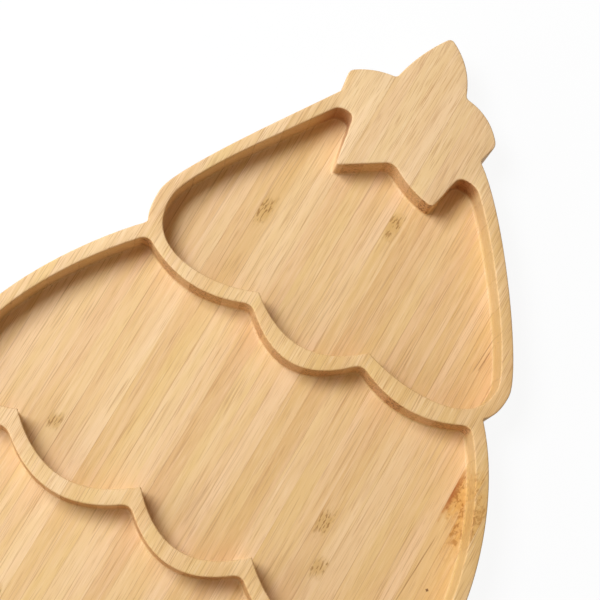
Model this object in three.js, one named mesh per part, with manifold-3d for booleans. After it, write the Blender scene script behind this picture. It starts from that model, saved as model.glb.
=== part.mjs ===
// Divided serving tray in the shape of a fir tree with a star on top, cut from one bamboo panel.
// Sizes are millimetres. The tip points along +Y, the pockets open along +Z and the tray lies on Z = 0.
// While the outlines are drawn, Y = 0 is the middle of the star, and levels are drops below it.
import * as THREE from 'three';
import { mergeVertices } from 'three/addons/utils/BufferGeometryUtils.js';
import Module from 'manifold-3d';

const wasm = await Module();
wasm.setup();

// Panel: strips of bamboo glued edge to edge, with every joint parallel to the tree's axis
const STRIP_WIDTH = 6.25;
const THINNEST_STRIP = 2;
const THICKNESS = 18;
const POCKET_DEPTH = 12;

// Routed profile
const RIM_WIDTH = 5;
const COVE_RADIUS = 1;
const EDGE_EASE = 0.6;
const CORNER_BLEND = 3.5;
const TIP_BLEND = 2;
const NOTCH_BLEND = 1.5;

// Star: reach of each point from its middle, and its direction in degrees from +X
const STAR_SHIFT = -4.3;
const STAR = {
  top: { reach: 37.8, angle: 96 },
  left: { reach: 31.2, angle: 169 },
  lowerLeft: { reach: 33.2, angle: 239.4 },
  lowerRight: { reach: 32, angle: 312 },
  right: { reach: 32, angle: 17 },
  upperLeftNotch: { reach: 19.2, angle: 137 },
  upperRightNotch: { reach: 23.2, angle: 58.6 },
  lowerNotch: { reach: 16.4, angle: 273.5 },
  leftShoulder: { reach: 28.9, angle: 183.8 },
  rightShoulder: { reach: 28.4, angle: 2.4 },
  leftArmpit: { reach: 22.2, angle: 201.7 },
  rightArmpit: { reach: 25.9, angle: 341.6 },
};
const ARM_BULGE = 2.6;
const FLAT_ARM_BULGE = 1.4;

// Tiers: each is symmetric about its own middle, which wanders a little off the panel's centre joint.
// A side leaves its start and arrives at its lobe along straight handles of the given lengths.
const TIER_1_SHIFT = 2.1;
const LOBE_1_REACH = 72.8;
const LOBE_1_DROP = 70.6;
const NOTCH_1_SHIFT = 1.2;
const NOTCH_1_REACH = 69.3;
const NOTCH_1_DROP = 82.6;
const LEFT_SHOULDER_SLOPE = 59;
const RIGHT_SHOULDER_SLOPE = 35;
const SIDE_1_LEAVE = 21;
const SIDE_1_ARRIVE = 9.7;

const TIER_2_SHIFT = -3;
const LOBE_2_REACH = 99.8;
const LOBE_2_DROP = 152.4;
const NOTCH_2_REACH = 95.8;
const NOTCH_2_DROP = 167.4;
const NOTCH_SLOPE = 48;
const SIDE_2_LEAVE = 25;
const SIDE_2_ARRIVE = 20;

const LOBE_3_REACH = 125;
const LOBE_3_DROP = 229.4;
const SIDE_3_LEAVE = 22;
const SIDE_3_ARRIVE = 18;

// How full the round corners are: share of the way down and of the way across that they run straight
const ROUND_DOWN = 0.75;
const ROUND_ACROSS = 0.45;

// Scalloped edges: drop of the cusps, their reach to either side, how far each scallop sags, and the
// edge's climb to the right for each millimetre
const DIVIDER_1_SHIFT = 1.2;
const DIVIDER_1_DROP = 83.7;
const DIVIDER_1_CLIMB = 0.03;
const DIVIDER_1_WIDTH = 7;
const DIVIDER_1_CUSP_WIDTH = 5;
const DIVIDER_1_CUSP = 22.4;
const DIVIDER_1_SAG = 9.9;
const DIVIDER_1_END_REACH = 44;
const DIVIDER_1_END_SAG = 4.2;

const DIVIDER_2_SHIFT = 1;
const DIVIDER_2_DROP = 165.9;
const DIVIDER_2_CLIMB = -0.03;
const DIVIDER_2_WIDTH = 6;
const DIVIDER_2_CUSP_WIDTH = 7;
const DIVIDER_2_INNER_CUSP = 22.6;
const DIVIDER_2_OUTER_CUSP = 73;
const DIVIDER_2_SAG = 11.5;
const DIVIDER_2_END_REACH = 84;
const DIVIDER_2_END_SAG = 3;

const BASE_DROP = 243;
const BASE_INNER_CUSP = 26;
const BASE_OUTER_CUSP = 76;
const BASE_SAG = 10;
const BASE_END_REACH = 99;
const BASE_END_SAG = 6;
const BASE_WIDTH = 6.5;

const TRUNK_DROP = 271.4;
const TRUNK_REACH = 24;
const TRUNK_BLEND = 5;

// Longest straight step along a curve, and the steps across a cove and round a corner
const CURVE_STEP = 5.5;
const COVE_STEPS = 2;
const BLEND_STEPS = 3;

const FLOOR = THICKNESS - POCKET_DEPTH;
const SIDES = [-1, 1];

const at = (x, y) => new THREE.Vector2(x, y);
const line = (from, to) => new THREE.LineCurve(from, to);

// A point of the star, from its reach and direction
function starPoint(name) {
  const { reach, angle } = STAR[name];
  const turn = THREE.MathUtils.degToRad(angle);
  return at(STAR_SHIFT + reach * Math.cos(turn), reach * Math.sin(turn));
}

// An edge that bows to the right of its direction by the given height
function bowed(from, to, height) {
  const along = to.clone().sub(from);
  const right = at(along.y, -along.x).normalize();
  const middle = from.clone().lerp(to, 0.5).addScaledVector(right, 2 * height);
  return new THREE.QuadraticBezierCurve(from, middle, to);
}

// Side of a tier: leaves the notch above it at a slope and meets the lobe running straight down
function tierSide(from, lobe, slopeDegrees, leaveLength, arriveLength) {
  const slope = THREE.MathUtils.degToRad(slopeDegrees);
  const outward = Math.sign(lobe.x - from.x);
  const leave = from.clone().addScaledVector(at(outward * Math.cos(slope), -Math.sin(slope)), leaveLength);
  const arrive = lobe.clone().add(at(0, arriveLength));
  return new THREE.CubicBezierCurve(from, leave, arrive, lobe);
}

// Rounded underside of a lobe, tucking in to the notch below it
function lobeEnd(lobe, notch) {
  const corner = at(lobe.x, lobe.y + ROUND_DOWN * (notch.y - lobe.y));
  return new THREE.QuadraticBezierCurve(lobe, corner, notch);
}

// Full round corner that runs down from a side into the low point of the end scallop
function sweepIn(side, low) {
  const down = at(side.x, side.y + ROUND_DOWN * (low.y - side.y));
  const across = at(side.x + ROUND_ACROSS * (low.x - side.x), low.y);
  return new THREE.CubicBezierCurve(side, down, across, low);
}

// The part of an end scallop that climbs from its low point to the cusp
function climb(low, cusp) {
  return new THREE.QuadraticBezierCurve(low, at(low.x + 0.5 * (cusp.x - low.x), low.y), cusp);
}

// The same curve, walked the other way
function reversed(curve) {
  const points = curve.getSpacedPoints(Math.ceil(curve.getLength() / CURVE_STEP));
  return new THREE.SplineCurve(points.reverse());
}

// Inner edge of the rim along a tier's side, from the given level down to the lobe
function innerSide(curve, side, level) {
  const count = Math.ceil(curve.getLength());
  const points = [];
  for (let step = 0; step <= count; step += 1) {
    const ahead = curve.getTangentAt(step / count);
    const inward = at(side * ahead.y, -side * ahead.x);
    points.push(curve.getPointAt(step / count).addScaledVector(inward, RIM_WIDTH));
  }
  const first = points.findIndex((point) => point.y < level);
  const before = points[first - 1];
  const share = (before.y - level) / (before.y - points[first].y);
  const start = before.clone().lerp(points[first], share);
  return new THREE.SplineCurve([start, ...points.slice(first)].filter((point, index, all) => {
    return index % 4 === 0 || index === all.length - 1;
  }));
}

// Joins legs, each a curve and the rounding of the corner at its end, into one closed loop of points
function loop(legs) {
  const lengths = legs.map(([curve]) => curve.getLength());
  const blends = legs.map(([, blend], index) => {
    const next = (index + 1) % legs.length;
    return Math.min(blend, 0.45 * lengths[index], 0.45 * lengths[next]);
  });
  const points = [];
  legs.forEach(([curve], index) => {
    const before = (index + legs.length - 1) % legs.length;
    const next = (index + 1) % legs.length;
    const start = blends[before] / lengths[index];
    const end = 1 - blends[index] / lengths[index];
    const span = (end - start) * lengths[index];
    const count = curve.isLineCurve ? 1 : Math.ceil(span / CURVE_STEP);
    for (let step = 0; step < count; step += 1) {
      points.push(curve.getPointAt(start + (end - start) * step / count));
    }
    if (blends[index] === 0) return;
    const arrive = legs[next][0].getPointAt(blends[index] / lengths[next]);
    const corner = new THREE.QuadraticBezierCurve(curve.getPointAt(end), curve.getPointAt(1), arrive);
    points.push(...corner.getPoints(BLEND_STEPS).slice(0, -1));
  });
  return points;
}

// Solid that follows the loop, moved outward by its own amount at each level of the profile
function profiled(points, profile) {
  const count = points.length;
  const outward = points.map((point, index) => {
    const before = point.clone().sub(points[(index + count - 1) % count]).normalize();
    const after = points[(index + 1) % count].clone().sub(point).normalize();
    const out = at(before.y + after.y, -before.x - after.x).normalize();
    const stretch = Math.max(0.6, out.dot(at(before.y, -before.x)));
    return out.divideScalar(stretch);
  });
  const rings = profile.map(({ out }) => points.map((point, index) => {
    return point.clone().addScaledVector(outward[index], out);
  }));
  const positions = rings.flatMap((ring, level) => ring.flatMap((point) => {
    return [point.x, point.y, profile[level].height];
  }));
  const faces = [];
  for (let ring = 0; ring + 1 < rings.length; ring += 1) {
    for (let index = 0; index < count; index += 1) {
      const next = (index + 1) % count;
      const low = ring * count;
      const high = low + count;
      faces.push(low + index, low + next, high + next);
      faces.push(low + index, high + next, high + index);
    }
  }
  const last = (rings.length - 1) * count;
  const floor = THREE.ShapeUtils.triangulateShape(rings[0], []);
  const roof = THREE.ShapeUtils.triangulateShape(rings[rings.length - 1], []);
  floor.forEach(([a, b, c]) => faces.push(c, b, a));
  roof.forEach(([a, b, c]) => faces.push(last + a, last + b, last + c));
  const geometry = new THREE.BufferGeometry();
  geometry.setAttribute('position', new THREE.Float32BufferAttribute(positions, 3));
  geometry.setIndex(faces);
  return solidOf(geometry);
}

function solidOf(geometry) {
  geometry.deleteAttribute('normal');
  geometry.deleteAttribute('uv');
  const merged = mergeVertices(geometry, 1e-4);
  return new wasm.Manifold(new wasm.Mesh({
    numProp: 3,
    vertProperties: new Float32Array(merged.attributes.position.array),
    triVerts: new Uint32Array(merged.index.array),
  }));
}

// Panel blank with both of its edges eased
function blank(points) {
  return profiled(points, [
    { out: -EDGE_EASE, height: 0 },
    { out: 0, height: EDGE_EASE },
    { out: 0, height: THICKNESS - EDGE_EASE },
    { out: -EDGE_EASE, height: THICKNESS },
  ]);
}

// What the router takes out of a pocket: flat floor, cove, upright wall and an eased top edge
function routed(points) {
  const profile = [];
  for (let step = 0; step <= COVE_STEPS; step += 1) {
    const turn = 0.5 * Math.PI * step / COVE_STEPS;
    profile.push({
      out: -COVE_RADIUS * (1 - Math.sin(turn)),
      height: FLOOR + COVE_RADIUS * (1 - Math.cos(turn)),
    });
  }
  profile.push({ out: 0, height: THICKNESS - EDGE_EASE });
  profile.push({ out: 2 * EDGE_EASE, height: THICKNESS + EDGE_EASE });
  return profiled(points, profile);
}

// Where the tiers meet, on the left and on the right
const lobe1 = SIDES.map((side) => at(TIER_1_SHIFT + side * LOBE_1_REACH, -LOBE_1_DROP));
const notch1 = SIDES.map((side) => at(NOTCH_1_SHIFT + side * NOTCH_1_REACH, -NOTCH_1_DROP));
const lobe2 = SIDES.map((side) => at(TIER_2_SHIFT + side * LOBE_2_REACH, -LOBE_2_DROP));
const notch2 = SIDES.map((side) => at(TIER_2_SHIFT + side * NOTCH_2_REACH, -NOTCH_2_DROP));
const lobe3 = SIDES.map((side) => at(side * LOBE_3_REACH, -LOBE_3_DROP));
const shoulder = [starPoint('leftShoulder'), starPoint('rightShoulder')];
const side1 = [
  tierSide(shoulder[0], lobe1[0], LEFT_SHOULDER_SLOPE, SIDE_1_LEAVE, SIDE_1_ARRIVE),
  tierSide(shoulder[1], lobe1[1], RIGHT_SHOULDER_SLOPE, SIDE_1_LEAVE, SIDE_1_ARRIVE),
];
const side2 = SIDES.map((side, hand) => {
  return tierSide(notch1[hand], lobe2[hand], NOTCH_SLOPE, SIDE_2_LEAVE, SIDE_2_ARRIVE);
});
const side3 = SIDES.map((side, hand) => {
  return tierSide(notch2[hand], lobe3[hand], NOTCH_SLOPE, SIDE_3_LEAVE, SIDE_3_ARRIVE);
});

// Outer outline, anticlockwise from the right shoulder
const top = starPoint('top');
const left = starPoint('left');
const right = starPoint('right');
const upperLeftNotch = starPoint('upperLeftNotch');
const upperRightNotch = starPoint('upperRightNotch');
const baseLow = SIDES.map((side) => at(side * BASE_END_REACH, -BASE_DROP - BASE_END_SAG - BASE_WIDTH));
const baseOuter = SIDES.map((side) => at(side * BASE_OUTER_CUSP, -BASE_DROP - BASE_WIDTH));
const baseInner = SIDES.map((side) => at(side * BASE_INNER_CUSP, -BASE_DROP - BASE_WIDTH));
const trunk = SIDES.map((side) => at(side * TRUNK_REACH, -TRUNK_DROP));
const outline = loop([
  [line(shoulder[1], right), TIP_BLEND],
  [bowed(right, upperRightNotch, ARM_BULGE), NOTCH_BLEND],
  [bowed(upperRightNotch, top, ARM_BULGE), TIP_BLEND],
  [bowed(top, upperLeftNotch, FLAT_ARM_BULGE), NOTCH_BLEND],
  [bowed(upperLeftNotch, left, FLAT_ARM_BULGE), TIP_BLEND],
  [line(left, shoulder[0]), NOTCH_BLEND],
  [side1[0], 0],
  [lobeEnd(lobe1[0], notch1[0]), NOTCH_BLEND],
  [side2[0], 0],
  [lobeEnd(lobe2[0], notch2[0]), NOTCH_BLEND],
  [side3[0], 0],
  [sweepIn(lobe3[0], baseLow[0]), 0],
  [climb(baseLow[0], baseOuter[0]), NOTCH_BLEND],
  [bowed(baseOuter[0], baseInner[0], BASE_SAG), NOTCH_BLEND],
  [line(baseInner[0], trunk[0]), TRUNK_BLEND],
  [line(trunk[0], trunk[1]), TRUNK_BLEND],
  [line(trunk[1], baseInner[1]), NOTCH_BLEND],
  [bowed(baseInner[1], baseOuter[1], BASE_SAG), NOTCH_BLEND],
  [reversed(climb(baseLow[1], baseOuter[1])), 0],
  [reversed(sweepIn(lobe3[1], baseLow[1])), 0],
  [reversed(side3[1]), NOTCH_BLEND],
  [reversed(lobeEnd(lobe2[1], notch2[1])), 0],
  [reversed(side2[1]), NOTCH_BLEND],
  [reversed(lobeEnd(lobe1[1], notch1[1])), 0],
  [reversed(side1[1]), NOTCH_BLEND],
]);

// Bottom of a pocket: round corners at the ends and scallops between cusps, walked left to right
function scallopedBottom(ends, cusps, sag, lows) {
  const legs = [
    [sweepIn(ends[0], lows[0]), 0],
    [climb(lows[0], cusps[0]), 0],
  ];
  for (let index = 0; index + 1 < cusps.length; index += 1) {
    legs.push([bowed(cusps[index], cusps[index + 1], sag), 0]);
  }
  legs.push([reversed(climb(lows[1], cusps[cusps.length - 1])), 0]);
  legs.push([reversed(sweepIn(ends[1], lows[1])), 0]);
  return legs;
}

// Top of a pocket, under a divider: scallops hang into the pocket, walked right to left
function scallopedTop(corners, cusps, sag, endSag) {
  const stops = [corners[0], ...cusps, corners[1]].reverse();
  return stops.slice(0, -1).map((stop, index) => {
    const atEnd = index === 0 || index === stops.length - 2;
    return [bowed(stop, stops[index + 1], atEnd ? -endSag : -sag), CORNER_BLEND];
  });
}

// Pocket 1, round the two lower arms of the star
const lowerLeft = starPoint('lowerLeft');
const lowerRight = starPoint('lowerRight');
const lowerNotch = starPoint('lowerNotch');
const leftArmpit = starPoint('leftArmpit');
const rightArmpit = starPoint('rightArmpit');
const inner1 = [
  innerSide(side1[0], -1, leftArmpit.y),
  innerSide(side1[1], 1, rightArmpit.y),
];
const edge1 = (reach, drop) => at(DIVIDER_1_SHIFT + reach, DIVIDER_1_CLIMB * reach - DIVIDER_1_DROP - drop);
const cusps1 = SIDES.map((side) => edge1(side * DIVIDER_1_CUSP, 0));
const lows1 = SIDES.map((side) => edge1(side * DIVIDER_1_END_REACH, DIVIDER_1_END_SAG));
const pocket1 = loop([
  [line(inner1[1].getPoint(0), rightArmpit), CORNER_BLEND],
  [line(rightArmpit, lowerRight), TIP_BLEND],
  [bowed(lowerRight, lowerNotch, -FLAT_ARM_BULGE), CORNER_BLEND],
  [line(lowerNotch, lowerLeft), TIP_BLEND],
  [line(lowerLeft, leftArmpit), CORNER_BLEND],
  [line(leftArmpit, inner1[0].getPoint(0)), CORNER_BLEND],
  [inner1[0], 0],
  ...scallopedBottom(inner1.map((curve) => curve.getPoint(1)), cusps1, DIVIDER_1_SAG, lows1),
  [reversed(inner1[1]), CORNER_BLEND],
]);

// Pocket 2, between the dividers
const inner2 = SIDES.map((side, hand) => innerSide(side2[hand], side, notch1[hand].y - 0.9 * RIM_WIDTH));
const edge2 = (reach, drop) => at(DIVIDER_2_SHIFT + reach, DIVIDER_2_CLIMB * reach - DIVIDER_2_DROP - drop);
const reaches2 = [-DIVIDER_2_OUTER_CUSP, -DIVIDER_2_INNER_CUSP, DIVIDER_2_INNER_CUSP, DIVIDER_2_OUTER_CUSP];
const cusps2 = reaches2.map((reach) => edge2(reach, 0));
const lows2 = SIDES.map((side) => edge2(side * DIVIDER_2_END_REACH, DIVIDER_2_END_SAG));
const pocket2 = loop([
  ...scallopedTop(
    inner2.map((curve) => curve.getPoint(0)),
    SIDES.map((side) => edge1(side * DIVIDER_1_CUSP, DIVIDER_1_CUSP_WIDTH)),
    DIVIDER_1_SAG + DIVIDER_1_WIDTH - DIVIDER_1_CUSP_WIDTH,
    DIVIDER_1_END_SAG + DIVIDER_1_WIDTH - DIVIDER_1_CUSP_WIDTH,
  ),
  [inner2[0], 0],
  ...scallopedBottom(inner2.map((curve) => curve.getPoint(1)), cusps2, DIVIDER_2_SAG, lows2),
  [reversed(inner2[1]), CORNER_BLEND],
]);

// Pocket 3, above the trunk
const inner3 = SIDES.map((side, hand) => innerSide(side3[hand], side, notch2[hand].y - 0.9 * RIM_WIDTH));
const cusps3 = [-BASE_OUTER_CUSP, -BASE_INNER_CUSP, BASE_INNER_CUSP, BASE_OUTER_CUSP]
  .map((reach) => at(reach, -BASE_DROP));
const lows3 = SIDES.map((side) => at(side * BASE_END_REACH, -BASE_DROP - BASE_END_SAG));
const pocket3 = loop([
  ...scallopedTop(
    inner3.map((curve) => curve.getPoint(0)),
    reaches2.map((reach) => edge2(reach, DIVIDER_2_CUSP_WIDTH)),
    DIVIDER_2_SAG + DIVIDER_2_WIDTH - DIVIDER_2_CUSP_WIDTH,
    DIVIDER_2_END_SAG + DIVIDER_2_WIDTH - DIVIDER_2_CUSP_WIDTH,
  ),
  [inner3[0], 0],
  ...scallopedBottom(inner3.map((curve) => curve.getPoint(1)), cusps3, BASE_SAG, lows3),
  [reversed(inner3[1]), CORNER_BLEND],
]);

const panel = [pocket1, pocket2, pocket3].reduce((rest, points) => rest.subtract(routed(points)), blank(outline));

// Bodies that a solid is made of, each as its own solid, from the tip of the tree downward
function bodiesOf(solid) {
  const mesh = solid.getMesh();
  const owner = Array.from({ length: mesh.numVert }, (unused, index) => index);
  const find = (index) => {
    let root = index;
    while (owner[root] !== root) root = owner[root];
    owner[index] = root;
    return root;
  };
  for (let corner = 0; corner < mesh.triVerts.length; corner += 3) {
    const [a, b, c] = mesh.triVerts.subarray(corner, corner + 3);
    owner[find(b)] = find(a);
    owner[find(c)] = find(a);
  }
  const groups = new Map();
  for (let corner = 0; corner < mesh.triVerts.length; corner += 3) {
    const root = find(mesh.triVerts[corner]);
    if (!groups.has(root)) groups.set(root, []);
    groups.get(root).push(...mesh.triVerts.subarray(corner, corner + 3));
  }
  const bodies = [...groups.values()].map((triangles) => {
    const geometry = new THREE.BufferGeometry();
    const corners = triangles.flatMap((index) => [...mesh.vertProperties.subarray(3 * index, 3 * index + 3)]);
    geometry.setAttribute('position', new THREE.Float32BufferAttribute(corners, 3));
    geometry.computeBoundingBox();
    return geometry;
  });
  return bodies.sort((one, other) => other.boundingBox.max.y - one.boundingBox.max.y);
}

// Saw cuts: the panel between two upright planes
const tipLevel = Math.max(...outline.map((point) => point.y));
const footLevel = Math.min(...outline.map((point) => point.y));
function between(from, to) {
  const plan = new THREE.Shape([
    at(from, footLevel - RIM_WIDTH),
    at(to, footLevel - RIM_WIDTH),
    at(to, tipLevel + RIM_WIDTH),
    at(from, tipLevel + RIM_WIDTH),
  ]);
  const slab = new THREE.ExtrudeGeometry(plan, { depth: 3 * THICKNESS, bevelEnabled: false });
  return panel.intersect(solidOf(slab.translate(0, 0, -THICKNESS)));
}

const TONES = [0xd9b483, 0xd2a974, 0xdcb98a, 0xcfa46c, 0xd6b07d];
const tray = new THREE.Group();
tray.name = 'tree_tray';
const strips = Math.max(1, Math.round(LOBE_3_REACH / STRIP_WIDTH));
const middleLevel = 0.5 * (tipLevel + footLevel);

function addStrip(name, geometry, tone) {
  geometry.translate(0, -middleLevel, 0);
  geometry.computeVertexNormals();
  const material = new THREE.MeshStandardMaterial({
    color: TONES[tone % TONES.length],
    roughness: 0.55,
    metalness: 0,
  });
  const mesh = new THREE.Mesh(geometry, material);
  mesh.name = name;
  tray.add(mesh);
}

// Strips are numbered from the centre joint outward; an end too thin to glue stays on its neighbour
SIDES.forEach((side) => {
  let kept = null;
  for (let number = strips; number >= 1; number -= 1) {
    const nearEdge = side * STRIP_WIDTH * (number - 1);
    const farEdge = number === strips ? side * (LOBE_3_REACH + STRIP_WIDTH) : side * STRIP_WIDTH * number;
    let solid = between(Math.min(nearEdge, farEdge), Math.max(nearEdge, farEdge));
    if (kept) solid = solid.add(kept);
    kept = null;
    const bodies = bodiesOf(solid);
    const whole = bodies.filter(({ boundingBox }) => {
      return number === 1 || boundingBox.max.x - boundingBox.min.x >= THINNEST_STRIP;
    });
    bodies.filter((body) => !whole.includes(body)).forEach((body) => {
      const sliver = solidOf(body);
      kept = kept ? kept.add(sliver) : sliver;
    });
    const hand = side < 0 ? 'left' : 'right';
    const label = `${hand}_strip_${String(number).padStart(2, '0')}`;
    whole.forEach((body, index) => {
      const name = whole.length === 1 ? label : `${label}_${['upper', 'lower', 'lowest'][index]}`;
      addStrip(name, body, 2 * number + (side < 0 ? 0 : 3));
    });
  }
});

export default tray;
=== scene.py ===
# %% [markdown]
# A bamboo snack tray in Blender
#
# The tray is a tree with a star on top, routed from a board that was glued up from narrow bamboo strips.
# The CAD strips are loaded as a frame. They are made of flat facets, so each strip is made again
# here with smooth curves, in the same place, and gets a bamboo material whose fibres run along it.

# %% load the frame
import math

import bmesh
import bpy
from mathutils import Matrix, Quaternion, Vector


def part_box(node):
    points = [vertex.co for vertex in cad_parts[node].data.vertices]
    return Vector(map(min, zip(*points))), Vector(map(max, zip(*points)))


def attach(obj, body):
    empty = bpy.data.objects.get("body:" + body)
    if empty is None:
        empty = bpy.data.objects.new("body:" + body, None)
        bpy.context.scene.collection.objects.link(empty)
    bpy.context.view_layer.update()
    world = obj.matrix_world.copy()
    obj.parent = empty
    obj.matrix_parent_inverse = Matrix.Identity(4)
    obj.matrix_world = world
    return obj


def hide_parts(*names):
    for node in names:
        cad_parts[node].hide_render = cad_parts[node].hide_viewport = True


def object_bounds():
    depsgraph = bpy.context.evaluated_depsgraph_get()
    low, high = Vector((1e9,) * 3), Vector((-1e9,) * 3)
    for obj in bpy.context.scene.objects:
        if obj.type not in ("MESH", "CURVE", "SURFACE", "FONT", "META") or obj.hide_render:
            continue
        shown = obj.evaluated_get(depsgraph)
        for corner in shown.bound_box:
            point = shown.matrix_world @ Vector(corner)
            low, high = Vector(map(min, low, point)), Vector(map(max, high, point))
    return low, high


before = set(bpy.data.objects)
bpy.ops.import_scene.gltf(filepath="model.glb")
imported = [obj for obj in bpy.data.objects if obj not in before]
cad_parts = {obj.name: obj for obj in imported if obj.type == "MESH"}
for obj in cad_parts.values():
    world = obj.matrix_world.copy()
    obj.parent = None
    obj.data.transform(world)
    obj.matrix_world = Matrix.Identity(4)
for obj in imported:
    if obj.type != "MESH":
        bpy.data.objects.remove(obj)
box_before = [[float(value) for value in corner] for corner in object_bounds()]
scene = bpy.context.scene
print("strips in the frame:", len(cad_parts))

# %% [markdown]
# Curves. The tray's outline is all sweeps and scallops, as a designer draws them with the pen tool. It
# could be a mesh of many short edges, but a chain of Bezier curves needs only a few points and stays
# smooth. A curve is four points: start, two handles and end. These helpers make the kinds of curve that
# the tray uses. Sizes are in metres, and while the outlines are drawn, Y = 0 is the middle of the star.

# %% curves
MM = 0.001


def flat(x, y):
    return Vector((x, y, 0))


def straight(start, end):
    return (start, start.lerp(end, 1 / 3), start.lerp(end, 2 / 3), end)


def quadratic(start, handle, end):
    """A curve with one handle for both of its ends."""
    return (start, start.lerp(handle, 2 / 3), end.lerp(handle, 2 / 3), end)


def bowed(start, end, height):
    """An edge that bows to the right of its direction by the given height."""
    along = end - start
    right = flat(along.y, -along.x).normalized()
    return quadratic(start, start.lerp(end, 0.5) + right * 2 * height, end)


def backwards(curve):
    return tuple(reversed(curve))


sample = bowed(flat(0, 0), flat(100 * MM, 0), 10 * MM)
print("handles of a sample edge:", [[round(value, 4) for value in handle] for handle in sample[1:3]])

# %% [markdown]
# Measuring along a curve. Corners get rounded further down, by cutting a length off both of their curves,
# so the script has to know how long a curve is and how far along it a length reaches. Blender can measure
# a curve once it is an object, but the four points tell it as well, in short steps.

# %% along a curve
def point_on(curve, share):
    start, leave, arrive, end = curve
    rest = 1 - share
    return (start * rest**3 + leave * 3 * rest**2 * share
            + arrive * 3 * rest * share**2 + end * share**3)


def speed_on(curve, share):
    start, leave, arrive, end = curve
    rest = 1 - share
    return ((leave - start) * rest**2 + (arrive - leave) * 2 * rest * share
            + (end - arrive) * share**2) * 3


def portion(curve, first, last):
    """The same curve between two of its shares, with handles that keep its shape."""
    reach = (last - first) / 3
    start = point_on(curve, first)
    end = point_on(curve, last)
    return (start, start + speed_on(curve, first) * reach, end - speed_on(curve, last) * reach, end)


def length_of(curve):
    steps = 40
    points = [point_on(curve, step / steps) for step in range(steps + 1)]
    return sum((after - before).length for before, after in zip(points, points[1:]))


def share_at(curve, wanted):
    """How far along a curve a given length has been walked."""
    steps = 400
    walked = 0
    before = curve[0]
    for step in range(1, steps + 1):
        here = point_on(curve, step / steps)
        walked += (here - before).length
        if walked >= wanted:
            return step / steps
        before = here
    return 1


print("length of the sample edge:", round(length_of(sample) / MM, 1), "mm")

# %% [markdown]
# The star. On the real tray its upper arms are part of the outline, and its lower arms stand out into the
# top pocket. A loop could turn out a regular star, but this one is a little uneven, so each tip and notch
# has its own reach and angle from the star's middle.

# %% star
STAR_SHIFT = -4.3 * MM
# Reach in metres and angle in degrees
STAR = {
    "top": (37.8 * MM, 96),
    "left": (31.2 * MM, 169),
    "lower left": (33.2 * MM, 239.4),
    "lower right": (32 * MM, 312),
    "right": (32 * MM, 17),
    "upper left notch": (19.2 * MM, 137),
    "upper right notch": (23.2 * MM, 58.6),
    "lower notch": (16.4 * MM, 273.5),
    "left shoulder": (28.9 * MM, 183.8),
    "right shoulder": (28.4 * MM, 2.4),
    "left armpit": (22.2 * MM, 201.7),
    "right armpit": (25.9 * MM, 341.6),
}


def star_point(name):
    reach, angle = STAR[name]
    turn = math.radians(angle)
    return flat(STAR_SHIFT + reach * math.cos(turn), reach * math.sin(turn))


shoulders = [star_point("left shoulder"), star_point("right shoulder")]
print("points of the star:", len(STAR))

# %% [markdown]
# The sides of the tiers. Each tier of the tree leaves the notch above it at a slope, bows outward and meets
# its lobe running straight down. One Bezier curve does that, with a handle along the slope and a handle
# straight up from the lobe, and the lengths of the handles set how full the side is.

# %% sides of the tiers
SIDES = (-1, 1)
# Each level: shift of its middle from the centre joint, reach to either side, drop below the star
LOBE_1 = (2.1 * MM, 72.8 * MM, 70.6 * MM)
NOTCH_1 = (1.2 * MM, 69.3 * MM, 82.6 * MM)
LOBE_2 = (-3 * MM, 99.8 * MM, 152.4 * MM)
NOTCH_2 = (-3 * MM, 95.8 * MM, 167.4 * MM)
LOBE_3 = (0, 125 * MM, 229.4 * MM)
TRUNK = (0, 24 * MM, 271.4 * MM)
# Slope at which the left and the right side leave, in degrees
SHOULDER_SLOPES = (59, 35)
NOTCH_SLOPES = (48, 48)
# Each tier: length of the handle at the top of its side and of the one above the lobe
SIDE_1 = (21 * MM, 9.7 * MM)
SIDE_2 = (25 * MM, 20 * MM)
SIDE_3 = (22 * MM, 18 * MM)


def pair(level):
    """The left and the right point of a level."""
    shift, reach, drop = level
    return [flat(shift + side * reach, -drop) for side in SIDES]


def tier_sides(starts, lobes, slopes, handles):
    """The left and the right side of a tier, each walked downward."""
    leave, arrive = handles
    sides = []
    for start, lobe, slope in zip(starts, lobes, slopes):
        turn = math.radians(slope)
        outward = math.copysign(1, lobe.x - start.x)
        handle = start + flat(outward * math.cos(turn), -math.sin(turn)) * leave
        sides.append((start, handle, lobe + flat(0, arrive), lobe))
    return sides


lobes_1, notches_1 = pair(LOBE_1), pair(NOTCH_1)
lobes_2, notches_2 = pair(LOBE_2), pair(NOTCH_2)
lobes_3, trunk_feet = pair(LOBE_3), pair(TRUNK)
sides_1 = tier_sides(shoulders, lobes_1, SHOULDER_SLOPES, SIDE_1)
sides_2 = tier_sides(notches_1, lobes_2, NOTCH_SLOPES, SIDE_2)
sides_3 = tier_sides(notches_2, lobes_3, NOTCH_SLOPES, SIDE_3)
left_sides = [sides[0] for sides in (sides_1, sides_2, sides_3)]
print("lengths of the left sides, mm:", [round(length_of(curve) / MM, 1) for curve in left_sides])

# %% [markdown]
# Round ends and inner edges. A lobe tucks in to the notch below it, and a pocket turns a full round corner
# into its lowest scallop. The rim has one width, so the inner edge of a side is the same curve moved inward.
# An offset of a Bezier curve is not quite one itself, but a curve with the same slopes at its ends, through
# the right point in its middle, is as close as the eye can tell.

# %% round ends and inner edges
RIM_WIDTH = 5 * MM
# Shares of the way down and across that the handles of a round corner take
ROUND_DOWN = 0.75
ROUND_ACROSS = 0.45


def lobe_end(lobe, notch):
    return quadratic(lobe, flat(lobe.x, lobe.y + ROUND_DOWN * (notch.y - lobe.y)), notch)


def sweep_in(side, low):
    """Full round corner that runs down from a side into the low point of the end scallop."""
    down = flat(side.x, side.y + ROUND_DOWN * (low.y - side.y))
    across = flat(side.x + ROUND_ACROSS * (low.x - side.x), low.y)
    return (side, down, across, low)


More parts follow.
